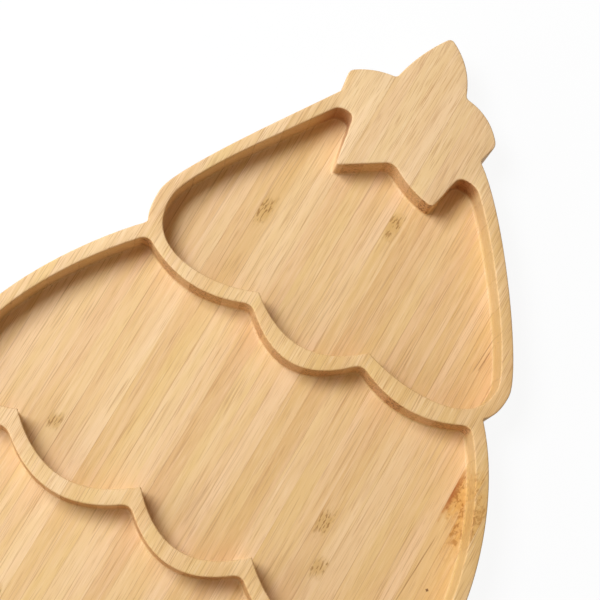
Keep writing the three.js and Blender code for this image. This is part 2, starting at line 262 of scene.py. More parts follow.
def climb(low, cusp):
    """The end scallop, from its low point up to the first cusp."""
    return quadratic(low, flat((low.x + cusp.x) / 2, low.y), cusp)


def inner_side(curve, side, level):
    """A side moved inward by the rim's width, from the given level down."""
    def inside(share):
        ahead = speed_on(curve, share).normalized()
        return point_on(curve, share) + flat(side * ahead.y, -side * ahead.x) * RIM_WIDTH

    start, end = inside(0), inside(1)
    leave, arrive = curve[1] - curve[0], curve[2] - curve[3]
    # The middle of a Bezier curve lies 3/8 of both its handles off the line between its ends
    bow = (leave + arrive) * 3 / 8
    stretch = (inside(0.5) - start.lerp(end, 0.5)).dot(bow) / bow.dot(bow)
    moved = (start, start + leave * stretch, end + arrive * stretch, end)
    first, last = 0, 1
    halvings = 30
    for halving in range(halvings):
        middle = (first + last) / 2
        if point_on(moved, middle).y > level:
            first = middle
        else:
            last = middle
    return portion(moved, first, 1)


print("width of the rim:", RIM_WIDTH / MM, "mm")

# %% [markdown]
# The scalloped edges. A divider is a row of hanging scallops that meet in cusps. Its upper edge has sharp
# cusps, because they stand out into the pocket above. Those of the lower edge are inside corners of the
# pocket below, so they are as round as the router bit. One class draws both edges of a divider from the
# same cusps, so that they stay together when one is moved.

# %% scallops
# Length that a rounded corner of a pocket takes off both of its edges
CORNER_BLEND = 3.5 * MM


class Scallops:
    """A scalloped edge: cusps at their reaches either side of a middle, at one drop, on a slight climb."""

    def __init__(self, drop, reaches, sag, end_reach, end_sag, shift=0, climb_rate=0, width=0, cusp_width=0):
        self.drop = drop
        self.reaches = [-reach for reach in reversed(reaches)] + list(reaches)
        self.sag = sag
        self.end_reach = end_reach
        self.end_sag = end_sag
        self.shift = shift
        self.climb_rate = climb_rate
        self.width = width
        self.cusp_width = cusp_width

    def at(self, reach, below=0):
        return flat(self.shift + reach, self.climb_rate * reach - self.drop - below)

    def cusps(self, below=0):
        return [self.at(reach, below) for reach in self.reaches]

    def lows(self):
        """The low points of the two end scallops."""
        return [self.at(side * self.end_reach, self.end_sag) for side in SIDES]

    def bottom_legs(self, ends):
        """The bottom edge of a pocket, walked left to right from one side to the other."""
        cusps = self.cusps()
        lows = self.lows()
        legs = [(sweep_in(ends[0], lows[0]), 0), (climb(lows[0], cusps[0]), 0)]
        legs += [(bowed(start, end, self.sag), 0) for start, end in zip(cusps, cusps[1:])]
        legs += [(backwards(climb(lows[1], cusps[-1])), 0), (backwards(sweep_in(ends[1], lows[1])), 0)]
        return legs

    def top_legs(self, corners):
        """The top edge of the pocket below, walked right to left under the divider."""
        stops = [corners[1], *reversed(self.cusps(self.cusp_width)), corners[0]]
        sags = [self.sag] * (len(stops) - 1)
        sags[0] = sags[-1] = self.end_sag
        hang = self.width - self.cusp_width
        return [(bowed(start, end, -sag - hang), CORNER_BLEND)
                for start, end, sag in zip(stops, stops[1:], sags)]


divider_1 = Scallops(
    drop=83.7 * MM, reaches=[22.4 * MM], sag=9.9 * MM, end_reach=44 * MM, end_sag=4.2 * MM,
    shift=1.2 * MM, climb_rate=0.03, width=7 * MM, cusp_width=5 * MM)
divider_2 = Scallops(
    drop=165.9 * MM, reaches=[22.6 * MM, 73 * MM], sag=11.5 * MM, end_reach=84 * MM, end_sag=3 * MM,
    shift=1 * MM, climb_rate=-0.03, width=6 * MM, cusp_width=7 * MM)
BASE_DROP = 243 * MM
BASE_WIDTH = 6.5 * MM
BASE_SHAPE = {"reaches": [26 * MM, 76 * MM], "sag": 10 * MM, "end_reach": 99 * MM, "end_sag": 6 * MM}
base = Scallops(drop=BASE_DROP, **BASE_SHAPE)
foot = Scallops(drop=BASE_DROP + BASE_WIDTH, **BASE_SHAPE)
print("cusps on the dividers:", len(divider_1.reaches) + len(divider_2.reaches))

# %% [markdown]
# The outline of the tray, walked anticlockwise from the star's right shoulder. This is the edge that is cut
# all the way through the board. Every leg is a curve and the rounding of the corner at its end, so the list
# reads like the path of the saw.

# %% outline of the tray
TIP_BLEND = 2 * MM
NOTCH_BLEND = 1.5 * MM
TRUNK_BLEND = 5 * MM
# How far the edges of the star's arms bow outward
ARM_BULGE = 2.6 * MM
FLAT_ARM_BULGE = 1.4 * MM

top, left, right = star_point("top"), star_point("left"), star_point("right")
upper_left, upper_right = star_point("upper left notch"), star_point("upper right notch")
foot_cusps, foot_lows = foot.cusps(), foot.lows()
edge_legs = [
    (straight(shoulders[1], right), TIP_BLEND),
    (bowed(right, upper_right, ARM_BULGE), NOTCH_BLEND),
    (bowed(upper_right, top, ARM_BULGE), TIP_BLEND),
    (bowed(top, upper_left, FLAT_ARM_BULGE), NOTCH_BLEND),
    (bowed(upper_left, left, FLAT_ARM_BULGE), TIP_BLEND),
    (straight(left, shoulders[0]), NOTCH_BLEND),
    (sides_1[0], 0),
    (lobe_end(lobes_1[0], notches_1[0]), NOTCH_BLEND),
    (sides_2[0], 0),
    (lobe_end(lobes_2[0], notches_2[0]), NOTCH_BLEND),
    (sides_3[0], 0),
    (sweep_in(lobes_3[0], foot_lows[0]), 0),
    (climb(foot_lows[0], foot_cusps[0]), NOTCH_BLEND),
    (bowed(foot_cusps[0], foot_cusps[1], foot.sag), NOTCH_BLEND),
    (straight(foot_cusps[1], trunk_feet[0]), TRUNK_BLEND),
    (straight(trunk_feet[0], trunk_feet[1]), TRUNK_BLEND),
    (straight(trunk_feet[1], foot_cusps[2]), NOTCH_BLEND),
    (bowed(foot_cusps[2], foot_cusps[3], foot.sag), NOTCH_BLEND),
    (backwards(climb(foot_lows[1], foot_cusps[3])), 0),
    (backwards(sweep_in(lobes_3[1], foot_lows[1])), 0),
    (backwards(sides_3[1]), NOTCH_BLEND),
    (backwards(lobe_end(lobes_2[1], notches_2[1])), 0),
    (backwards(sides_2[1]), NOTCH_BLEND),
    (backwards(lobe_end(lobes_1[1], notches_1[1])), 0),
    (backwards(sides_1[1]), NOTCH_BLEND),
]
print("legs of the outline:", len(edge_legs))

# %% [markdown]
# The outlines of the three pockets. The top pocket runs round the lower arms of the star. The two below it
# lie between scalloped edges, so one function draws both. What is left between the pockets and the outline
# is the rim, and what is left between two pockets is a divider, as the router leaves them.

# %% outlines of the pockets
# How far the upper corners of a lower pocket lie below the notches
CORNER_DROP = 0.9 * RIM_WIDTH

armpits = [star_point("left armpit"), star_point("right armpit")]
lower_left, lower_right = star_point("lower left"), star_point("lower right")
lower_notch = star_point("lower notch")
inner_1 = [inner_side(curve, side, armpit.y) for curve, side, armpit in zip(sides_1, SIDES, armpits)]
pocket_1_legs = [
    (straight(inner_1[1][0], armpits[1]), CORNER_BLEND),
    (straight(armpits[1], lower_right), TIP_BLEND),
    (bowed(lower_right, lower_notch, -FLAT_ARM_BULGE), CORNER_BLEND),
    (straight(lower_notch, lower_left), TIP_BLEND),
    (straight(lower_left, armpits[0]), CORNER_BLEND),
    (straight(armpits[0], inner_1[0][0]), CORNER_BLEND),
    (inner_1[0], 0),
    *divider_1.bottom_legs([curve[3] for curve in inner_1]),
    (backwards(inner_1[1]), CORNER_BLEND),
]


def lower_pocket_legs(sides, notches, above, below):
    """A pocket between two scalloped edges."""
    inner = [inner_side(curve, side, notch.y - CORNER_DROP)
             for curve, side, notch in zip(sides, SIDES, notches)]
    return [
        *above.top_legs([curve[0] for curve in inner]),
        (inner[0], 0),
        *below.bottom_legs([curve[3] for curve in inner]),
        (backwards(inner[1]), CORNER_BLEND),
    ]


pocket_2_legs = lower_pocket_legs(sides_2, notches_1, divider_1, divider_2)
pocket_3_legs = lower_pocket_legs(sides_3, notches_2, divider_2, base)
print("legs of the pockets:", [len(legs) for legs in (pocket_1_legs, pocket_2_legs, pocket_3_legs)])

# %% [markdown]
# Rounding the corners. A turning cutter leaves no sharp inside corner, and sandpaper takes off the outside
# ones. A bevel on the finished mesh would do it too, but on a curved outline it is cleaner to cut each leg
# short and to join the ends with a curve whose handle is the old corner.

# %% round the corners
# The largest share of a leg that one of its corners may take
LARGEST_BLEND = 0.45


def rounded(legs):
    """The legs with every corner rounded, as one closed chain of Bezier curves."""
    lengths = [length_of(curve) for curve, blend in legs]
    next_lengths = lengths[1:] + lengths[:1]
    blends = [min(blend, LARGEST_BLEND * length, LARGEST_BLEND * next_length)
              for (curve, blend), length, next_length in zip(legs, lengths, next_lengths)]
    trimmed = []
    for index, (curve, blend) in enumerate(legs):
        first = share_at(curve, blends[index - 1]) if blends[index - 1] else 0
        last = share_at(curve, lengths[index] - blends[index]) if blends[index] else 1
        trimmed.append(portion(curve, first, last))
    chain = []
    for index, curve in enumerate(trimmed):
        chain.append(curve)
        if blends[index]:
            corner = legs[index][0][3]
            following = trimmed[(index + 1) % len(legs)]
            chain.append(quadratic(curve[3], corner, following[0]))
    return chain


outlines = [rounded(legs) for legs in (edge_legs, pocket_1_legs, pocket_2_legs, pocket_3_legs)]
print("curves in the outlines:", [len(chain) for chain in outlines])

# %% [markdown]
# The cutter. A router bit leaves an upright wall with a small cove at the floor, and sandpaper eases the top
# edge. The tray's outer edge is eased at the top and at the bottom. Both are drawn here as profiles, from the
# top down: X is the distance into the pocket or into the tray, and Y is the height.

# %% profiles of the cutter
THICKNESS = 18 * MM
POCKET_DEPTH = 12 * MM
FLOOR_HEIGHT = THICKNESS - POCKET_DEPTH
COVE_RADIUS = 1 * MM
EDGE_EASE = 0.6 * MM
# Share of its radius that the handle of a quarter circle takes
ARC_HANDLE = 0.5523


def quarter(start, end, corner):
    """A quarter of a circle that starts and ends along the lines to a corner."""
    return (start, start.lerp(corner, ARC_HANDLE), end.lerp(corner, ARC_HANDLE), end)


def cutter_profile():
    """Down the wall of a pocket."""
    rim = flat(-EDGE_EASE, THICKNESS)
    wall_top = flat(0, THICKNESS - EDGE_EASE)
    wall_foot = flat(0, FLOOR_HEIGHT + COVE_RADIUS)
    floor_edge = flat(COVE_RADIUS, FLOOR_HEIGHT)
    return [
        quarter(rim, wall_top, flat(0, THICKNESS)),
        straight(wall_top, wall_foot),
        quarter(wall_foot, floor_edge, flat(0, FLOOR_HEIGHT)),
    ]


def edge_profile():
    """Down the outside of the tray."""
    wall_top = flat(0, THICKNESS - EDGE_EASE)
    wall_foot = flat(0, EDGE_EASE)
    return [
        quarter(flat(EDGE_EASE, THICKNESS), wall_top, flat(0, THICKNESS)),
        straight(wall_top, wall_foot),
        quarter(wall_foot, flat(EDGE_EASE, 0), flat(0, 0)),
    ]


print("floors of the pockets at", round(FLOOR_HEIGHT / MM, 2), "mm")

# %% [markdown]
# The routed walls. In Blender a curve can carry a second curve along its path, as a hand carries a cutter
# round a template. The path is an outline, the carried curve is a profile, and the surface that it leaves
# becomes a mesh. Cutting the pockets with a boolean would leave the eased edges and coves to be made after.

# %% sweep the cutter
# Straight steps in each curve of an outline and of a profile
PATH_STEPS = 20
PROFILE_STEPS = 4


def bezier_curve(name, chain, closed, steps):
    """A flat curve object from a chain of Bezier curves."""
    data = bpy.data.curves.new(name, "CURVE")
    data.dimensions = "2D"
    data.fill_mode = "NONE"
    spline = data.splines.new("BEZIER")
    spline.bezier_points.add(len(chain) - 1 if closed else len(chain))
    spline.use_cyclic_u = closed
    spline.resolution_u = steps
    for index, point in enumerate(spline.bezier_points):
        point.handle_left_type = point.handle_right_type = "FREE"
        before = chain[index - 1] if closed or index else None
        after = chain[index] if index < len(chain) else None
        point.co = after[0] if after else before[3]
        point.handle_right = after[1] if after else point.co
        point.handle_left = before[2] if before else point.co
    holder = bpy.data.objects.new(name, data)
    scene.collection.objects.link(holder)
    return holder


def swept(chain, profile):
    """The surface that a profile leaves as it is carried round an outline, as a mesh."""
    path = bezier_curve("path", chain, True, PATH_STEPS)
    carried = bezier_curve("profile", profile, False, PROFILE_STEPS)
    path.data.bevel_mode = "OBJECT"
    path.data.bevel_object = carried
    bpy.context.view_layer.update()
    graph = bpy.context.evaluated_depsgraph_get()
    mesh = bpy.data.meshes.new_from_object(path.evaluated_get(graph))
    for holder in (path, carried):
        bpy.data.curves.remove(holder.data)
    return mesh


walls = [swept(outlines[0], edge_profile())]
walls += [swept(chain, cutter_profile()) for chain in outlines[1:]]
print("faces on the swept walls:", [len(mesh.polygons) for mesh in walls])

# %% [markdown]
# The panel. The swept walls are joined and their open rims are filled: the underside and each floor by a
# face inside one rim, the top by faces between the tray's edge and the three pockets. Filled rims make one
# closed solid, which can then be sawn like the real board.

# %% panel
X_AXIS, Z_AXIS = 0, 2
UP = (0, 0, 1)
WELD = 0.02 * MM
FLATNESS = 0.001 * MM


def rims_on(solid, axis, place):
    """The open edges that lie in one plane across an axis."""
    return [edge for edge in solid.edges if edge.is_boundary
            and all(abs(vertex.co[axis] - place) < FLATNESS for vertex in edge.verts)]


def fill(solid, rims, facing):
    """Closes what lies inside or between flat rims, and gives the new faces."""
    made = bmesh.ops.triangle_fill(solid, use_beauty=True, use_dissolve=False, edges=rims, normal=facing)
    return [part for part in made["geom"] if isinstance(part, bmesh.types.BMFace)]


panel = bmesh.new()
for mesh in walls:
    panel.from_mesh(mesh)
    bpy.data.meshes.remove(mesh)
bmesh.ops.remove_doubles(panel, verts=panel.verts, dist=WELD)
for height in (0, FLOOR_HEIGHT, THICKNESS):
    faces = fill(panel, rims_on(panel, Z_AXIS, height), UP)
    print("filled at", round(height / MM, 1), "mm:", len(faces), "faces")
star_level = box_before[0][1] + TRUNK[2]
bmesh.ops.translate(panel, verts=panel.verts, vec=(0, star_level, 0))
bmesh.ops.recalc_face_normals(panel, faces=panel.faces)
open_edges = [edge for edge in panel.edges if not edge.is_manifold]
print("panel faces:", len(panel.faces), "open edges:", len(open_edges))
print("volume of the panel:", round(panel.calc_volume() / (10 * MM) ** 3, 1), "cubic centimetres")

# %% [markdown]
# Sawing the panel into strips. The real board is glued from strips, so the joints run through rim, dividers
# and floors alike. Each strip is a copy of the panel cut by two upright planes, with the cut faces closed
# again. Strips made one by one might not meet, and this way every surface stays in line across the joints.

# %% saw a strip
STRIP_WIDTH = 6.25 * MM
CUT_TOLERANCE = 0.0001 * MM


def sawn(left_plane, right_plane):
    """The panel between two planes, as a closed mesh."""
    strip = panel.copy()
    for plane, keep in ((left_plane, 1), (right_plane, -1)):
        facing = (-keep, 0, 0)
        bmesh.ops.bisect_plane(
            strip,
            geom=strip.verts[:] + strip.edges[:] + strip.faces[:],
            dist=CUT_TOLERANCE,
            plane_co=(plane, 0, 0),
            plane_no=facing,
            clear_outer=True,
        )
        fill(strip, rims_on(strip, X_AXIS, plane), facing)
    return strip


strip_count = round(LOBE_3[1] / STRIP_WIDTH)
print("strips on either side of the centre joint:", strip_count)

# %% [markdown]
# Handing the strips over. Where a notch leaves a strip in two lengths, each of them is a piece of its own.
# The lengths of a strip are found by walking along its edges, and each goes to the CAD strip whose place
# it has.

# %% lengths of the strips
def lengths_of(strip):
    """The separate lengths in a strip, each as its set of vertices."""
    lengths = []
    found = set()
    for first in strip.verts:
        if first in found:
            continue
        length = {first}
        front = [first]
        while front:
            vertex = front.pop()
            others = {edge.other_vert(vertex) for edge in vertex.link_edges} - length
            length |= others
            front += others
        found |= length
        lengths.append(length)
    return lengths


def owner_of(length, boxes):
    """The CAD strip whose box holds the middle of a length."""
    middle = sum((vertex.co for vertex in length), Vector()) / len(length)

    def miss(name):
        low, high = boxes[name]
        return sum(max(low[axis] - middle[axis], middle[axis] - high[axis], 0) for axis in range(3))

    return min(boxes, key=miss)


def add_length(piece, strip, length):
    """Copies one length of a strip into a piece."""
    strip.verts.index_update()
    kept = {vertex.index for vertex in length}
    copied = strip.copy()
    copied.verts.index_update()
    others = [vertex for vertex in copied.verts if vertex.index not in kept]
    bmesh.ops.delete(copied, geom=others, context="VERTS")
    handover = bpy.data.meshes.new("length")
    copied.to_mesh(handover)
    copied.free()
    piece.from_mesh(handover)
    bpy.data.meshes.remove(handover)


node_boxes = {name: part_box(name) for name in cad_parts}
solids = {name: bmesh.new() for name in node_boxes}
for number in range(-strip_count, strip_count):
    strip = sawn(number * STRIP_WIDTH, (number + 1) * STRIP_WIDTH)
    for length in lengths_of(strip):
        add_length(solids[owner_of(length, node_boxes)], strip, length)
    strip.free()
panel.free()
print("strips with a smooth mesh:", sum(1 for solid in solids.values() if solid.faces))

# %% [markdown]
# What makes one strip differ from the next. Bamboo strips come from different stalks, so each has a tone and
# a hue of its own, and the tone can change along the strip. Three strips by the right wall of the top pocket
# also get painted shade toward the star, which darkens the floor by that wall where the lamps light it most.
# A stalk has a knuckle every hand's width or two, which crosses a strip as a short band of tangled fibres,
# brown or golden. A material for every strip would do it, but one material that reads these values from the
# mesh is less to look after.

# %% strip characters
PALE, LIGHT, PLAIN, DARK, BROWN = 0.8, 0.4, 0.0, -0.5, -1.0
TONES = {
    "left_01": PLAIN, "left_02": LIGHT, "left_03": BROWN, "left_04": PLAIN, "left_05": PALE,
    "left_06": PLAIN, "left_07": DARK, "left_08": PALE, "left_09": PLAIN, "left_10": LIGHT,
    "left_11": DARK, "left_12": LIGHT, "right_01": LIGHT, "right_02": DARK, "right_03": BROWN,
    "right_04": LIGHT, "right_05": DARK, "right_06": PLAIN, "right_07": BROWN, "right_08": LIGHT,
    "right_09": PALE, "right_10": PLAIN, "right_11": PLAIN, "right_12": PLAIN, "right_13": DARK,
    "right_14": BROWN, "right_15": BROWN,
}
# How far the tone of a strip shifts toward the star. For right_10 to right_12 the shift is painted shade, for
# the floor by the right wall of the top pocket, where the lamps light it most
DRIFTS_AND_SHADE = {
    "left_06": -1.1, "left_04": 0.9, "left_03": 0.5, "right_02": 0.6, "right_04": -0.9,
    "right_05": 0.5, "right_06": -0.6, "right_07": 0.6, "right_08": -0.7, "right_09": -0.6,
    "right_10": -0.9, "right_11": -1.0, "right_12": -1.0,
}
# Hue of a strip where it stands out: -1 is yellow and 1 is pink
HUES = {
    "right_12": 0.7, "right_13": -0.8, "right_14": -0.8, "right_15": -0.8,
    "left_07": -0.3, "left_06": -0.7,
}
# Place of the knuckle along the strip and half its length, in millimetres
KNUCKLES = {
    "left_06": (63.8, 5.5), "right_02": (83.5, 5), "left_10": (-42.2, 2.8), "right_07": (-24.5, 4.5),
    "right_08": (-39.3, 3.5), "left_12": (40.6, 3), "right_13": (8, 8), "right_14": (0, 10),
    "left_02": (-128, 4), "left_08": (-104, 4), "left_15": (-96, 4),
    "right_05": (-141, 4), "right_10": (-112, 4), "right_17": (-84, 4), "left_18": (-124, 4),
}
# A place far off the tray
NO_KNUCKLE = (1000, 1)
# How golden a knuckle is; the most golden one has a red-brown edge
GOLDEN = {"right_13": 1.0, "right_14": 0.8}
# A strip's seed grows with its number, and the right side starts well away from the left
SEED_STEP = 7.31
RIGHT_SEED = 101.7
# Where the tables say nothing: how fast a value turns with the seed, and how far it spreads
TONE_SCATTER = (5.3, 0.7)
LEAN_SCATTER = (3.1, 0.012)
HUE_SCATTER = (2.9, 0.6)


def scattered(seed, scatter):
    """A value that looks random but is the same each time."""
    turn, spread = scatter
    return spread * math.sin(seed * turn)


def character(name):
    """What sets a strip apart from the others, from its side and number."""
    side, word, number = name.split("_")[:3]
    key = f"{side}_{number}"
    seed = int(number) * SEED_STEP + (0 if side == "left" else RIGHT_SEED)
    knuckle, knuckle_reach = KNUCKLES.get(key, NO_KNUCKLE)
    return {
        "tone": TONES.get(key, scattered(seed, TONE_SCATTER)),
        # The shift along the strip: a tone that drifts, and painted shade for three strips by the right wall
        "drift_and_shade": DRIFTS_AND_SHADE.get(key, 0.0),
        "seed": seed,
        "lean": scattered(seed, LEAN_SCATTER),
        "knuckle": knuckle,
        "knuckle_reach": knuckle_reach,
        "golden": GOLDEN.get(key, 0.0),
        "blush": HUES.get(key, scattered(seed, HUE_SCATTER)),
    }


print("first strip on the right:", character("right_strip_01"))

# %% [markdown]
# The strips as objects. Walls and eased edges are shaded smooth, and the faces, floors and sawn sides stay
# flat. The character of a strip goes on its mesh as attributes. Two more attributes tell the material how
# far a surface stands upright, as a routed wall does, and how far it cuts across the fibres.

# %% strips as objects
# A face counts as flat when its normal is this close to upright or to straight across
FLAT_FACE = 0.999
SHARP_ANGLE = 32


def add_attribute(mesh, name, domain, values):
    attribute = mesh.attributes.new(name, "FLOAT", domain)
    attribute.data.foreach_set("value", values)


def strip_object(name, solid):
    bmesh.ops.recalc_face_normals(solid, faces=solid.faces)
    for face in solid.faces:
        face.smooth = abs(face.normal.z) < FLAT_FACE and abs(face.normal.x) < FLAT_FACE
    mesh = bpy.data.meshes.new(name + "_smooth")
    solid.to_mesh(mesh)
    solid.free()
    mesh.set_sharp_from_angle(angle=math.radians(SHARP_ANGLE))
    for trait, value in character(name).items():
        add_attribute(mesh, trait, "POINT", [value] * len(mesh.vertices))
    normals = [corner.vector for corner in mesh.corner_normals]
    add_attribute(mesh, "upright", "CORNER", [1 - abs(normal.z) for normal in normals])
    add_attribute(mesh, "end_grain", "CORNER", [abs(normal.y) for normal in normals])
    holder = bpy.data.objects.new(name + "_smooth", mesh)
    scene.collection.objects.link(holder)
    return holder


pieces = {name: strip_object(name, solid) for name, solid in solids.items()}
print("faces in all:", sum(len(holder.data.polygons) for holder in pieces.values()))

# %% [markdown]
# A small class lets shader sockets be added and multiplied like numbers, so that a material reads as a
# formula. Any other node comes from one method, which takes its type, its settings and its sockets. The
# same could be wired by hand in the shader editor, but formulas are easier to read and to change.

# %% shader formulas
class Wire:
    """The output of a shader node, for use in formulas."""

    def __init__(self, sheet, socket):
        self.sheet = sheet
        self.socket = socket

    def _math(self, operation, *values):
        return self.sheet.node("ShaderNodeMath", {"operation": operation}, dict(enumerate(values)))

    def __add__(self, other):
        return self._math("ADD", self, other)

    __radd__ = __add__

    def __sub__(self, other):
        return self._math("SUBTRACT", self, other)

    def __rsub__(self, other):
        return self._math("SUBTRACT", other, self)

    def __mul__(self, other):
        return self._math("MULTIPLY", self, other)

    __rmul__ = __mul__

    def __truediv__(self, other):
        return self._math("DIVIDE", self, other)

    def __rtruediv__(self, other):
        return self._math("DIVIDE", other, self)

    def __neg__(self):
        return self * -1

    def size(self):
        return self._math("ABSOLUTE", self)

    def larger(self, other):
        return self._math("MAXIMUM", self, other)

    def rest(self, step):
        """What is left over after whole steps."""
        return self._math("FLOORED_MODULO", self, step)

    def smooth(self, low, high):
        """Runs from 0 at the first value to 1 at the second."""
        return self.sheet.node("ShaderNodeMapRange", {"interpolation_type": "SMOOTHSTEP"},
                               {"Value": self, "From Min": low, "From Max": high})


class Sheet:
    """The node sheet of one material."""

    def __init__(self, name):
        self.material = bpy.data.materials.new(name)
        self.material.use_nodes = True
        self.tree = self.material.node_tree
        self.tree.nodes.clear()

    def node(self, kind, settings=None, sockets=None, output=0):
        made = self.tree.nodes.new(kind)
        for key, value in (settings or {}).items():
            setattr(made, key, value)
        for key, value in (sockets or {}).items():
            if isinstance(value, Wire):
                self.tree.links.new(value.socket, made.inputs[key])
            else:
                made.inputs[key].default_value = value
        return Wire(self, made.outputs[output])

    def attribute(self, name):
        return self.node("ShaderNodeAttribute", {"attribute_name": name}, output="Fac")

    def place(self):
        """Object coordinates in millimetres."""
        where = self.node("ShaderNodeTexCoord", output="Object")
        return [self.node("ShaderNodeSeparateXYZ", None, {0: where}, output=axis) / MM for axis in range(3)]

    def noise(self, x, y, z, detail=2.0, roughness=0.5):
        vector = self.node("ShaderNodeCombineXYZ", None, {0: x, 1: y, 2: z})
        return self.node("ShaderNodeTexNoise", {"noise_dimensions": "3D"},
                         {"Vector": vector, "Scale": 1.0, "Detail": detail, "Roughness": roughness})

    def mix(self, share, first, second):
        """Two colours mixed."""
        # A Mix node has sockets for every type: 0 is the factor, 6 and 7 the colours, output 2 their mix
        return self.node("ShaderNodeMix", {"data_type": "RGBA"}, {0: share, 6: first, 7: second}, output=2)

    def surface(self, shader):
        end = self.tree.nodes.new("ShaderNodeOutputMaterial")
        self.tree.links.new(shader.socket, end.inputs["Surface"])
        return self.material


def colour(red, green, blue):
    """A colour given as it looks on a screen, 0 to 255."""
    def linear(value):
        """The curve that screens use, undone."""
        share = value / 255
        return share / 12.92 if share <= 0.04045 else ((share + 0.055) / 1.055) ** 2.4
    return (linear(red), linear(green), linear(blue), 1)


print("middle grey of the screen in the shader:", round(colour(128, 128, 128)[0], 3))

# %% [markdown]
# Bamboo. Its fibres are bundles a fraction of a millimetre thick that run along the strip. A picture of wood
# could be laid on, but a noise that is fine across the strip and long along it draws the same broken lines,
# runs on through every wall and needs no file. A strip's seed moves the noise, so no two strips are alike.
# The material grows in the next cells, from the tone to the marks. The lengths in it are in millimetres.

# %% wires that the bamboo's formulas share
# Width and length of what each noise draws, in millimetres
FINE_FIBRE = (0.32, 9)
THREAD = (0.7, 19)
STRIP = STRIP_WIDTH / MM
TOP = THICKNESS / MM
# Heights between which a surface counts more and more as the sanded top
SANDED = (TOP - 0.8, TOP - 0.2)
# Places along the strip between which its tone drifts, and the painted shade of three strips comes in
DRIFT_AND_SHADE_ZONE = (15, 45)


class Bamboo(Sheet):
    """The bamboo's node sheet, with the wires that several formulas read."""

    def __init__(self):
        super().__init__("bamboo")
        self.x, self.y, self.z = self.place()
        self.seed = self.attribute("seed")
        self.blush = self.attribute("blush")
        self.golden = self.attribute("golden")
        self.upright = self.attribute("upright")
        # The tone takes its shift along the strip, which for three strips is painted shade
        self.tone = self.attribute("tone") + self.attribute("drift_and_shade") * self.y.smooth(*DRIFT_AND_SHADE_ZONE)
        self.across = self.x + self.attribute("lean") * self.y
        self.from_joint = self.x.rest(STRIP)
        self.end_grain = self.attribute("end_grain").smooth(0.6, 0.95) * self.upright.smooth(0.3, 0.9)
        self.sanded = self.z.smooth(*SANDED)
        self.fine = self.fibres(FINE_FIBRE, 1, 1.0)
        self.threads = self.fibres(THREAD, 3)

    def fibres(self, mark, offset, detail=2.0):
        """Marks that run along the strip and lean with its fibres."""
        width, length = mark
        along = self.y / length + self.seed
        return self.noise(self.across / width + self.seed * offset, along, self.z / width, detail)

    def figure(self, mark, shift, shift_along=0, detail=2.0, roughness=0.6):
        """Marks that are shifted by other wires."""
        width, length = mark
        along = self.y / length + shift_along
        return self.noise(self.x / width + shift, along, self.z / width, detail, roughness)


wood = Bamboo()
print("nodes for the shared wires:", len(wood.tree.nodes))

# %% [markdown]
# The honey tone. Under the fibres a strip has broad bands and soft patches of its own, and it is browner or
# paler, pinker or yellower than its neighbour. The sanded top is a little paler on the star. Away from the
# star it is painted warmer toward the right, as painted sheen: the top on the left stays paler, where the
# lamps' sheen falls. Mixing one tone over the other keeps each of them easy to set.

# %% honey tone
BAND = (2.2, 110)
PATCH = (5, 40)
PALE_HONEY = colour(238, 199, 150)
DEEP_HONEY = colour(226, 184, 126)
YELLOW_PATCH = colour(229, 191, 122)
BROWN_STRIP = colour(208, 156, 96)
PALE_STRIP = colour(246, 213, 168)
PINK_STRIP = colour(236, 192, 150)
YELLOW_STRIP = colour(228, 190, 122)
SANDED_STAR = colour(246, 214, 172)
TOP_WITHOUT_SHEEN = colour(230, 184, 110)
# Distance from the star's middle within which the top is star, and beyond which it is not
ON_STAR, OFF_STAR = 40, 60
# Painted sheen: places across the board between which the top turns from paler on the left to warmer
SHEEN_FADE_ZONE = (-60, 0)


def honey_tone():
    bands = wood.fibres(BAND, 5)
    patches = wood.fibres(PATCH, 7)
    honey = wood.mix(bands.smooth(0.3, 0.7), PALE_HONEY, DEEP_HONEY)
    honey = wood.mix(patches.smooth(0.4, 0.7) * 0.5, honey, YELLOW_PATCH)
    honey = wood.mix((-wood.tone).smooth(0, 1) * 0.3, honey, BROWN_STRIP)
    honey = wood.mix(wood.tone.smooth(0, 1) * 0.35, honey, PALE_STRIP)
    honey = wood.mix(wood.blush.smooth(0, 1) * 0.22, honey, PINK_STRIP)
    honey = wood.mix((-wood.blush).smooth(0, 1) * 0.35, honey, YELLOW_STRIP)
    from_star = (wood.x - STAR_SHIFT / MM).size() + (wood.y - star_level / MM).size()
    paler = wood.sanded * (0.04 + from_star.smooth(OFF_STAR, ON_STAR) * 0.22)
    honey = wood.mix(paler, honey, SANDED_STAR)
    # Painted sheen: away from the star, the top is paler on the left and warmer toward the right
    painted_sheen_fade = wood.sanded * from_star.smooth(ON_STAR, OFF_STAR) * wood.x.smooth(*SHEEN_FADE_ZONE) * 0.25
    return wood.mix(painted_sheen_fade, honey, TOP_WITHOUT_SHEEN)


grain = honey_tone()
print("nodes with the honey tone:", len(wood.tree.nodes))

# %% [markdown]
# Fibres and glue lines. Open fibres read dark, dense ones pale, and here and there one has cracked. They
# show most on the sanded top, and less on the routed floors. Between two strips the glue makes a thin brown
# line, which comes and goes along the joint. Threads of geometry would be far too fine, so these are colour.

# %% fibres and glue lines
CRACK = (0.45, 22)
GLUE_PATCH = (4, 50)
# Distances from the middle of a strip between which the glue line comes up
GLUE_EDGE = (2.85, 3.1)
OPEN_FIBRE = colour(178, 124, 74)
DENSE_FIBRE = colour(250, 222, 180)
CRACKED_FIBRE = colour(166, 110, 62)
GLUE = colour(170, 114, 66)


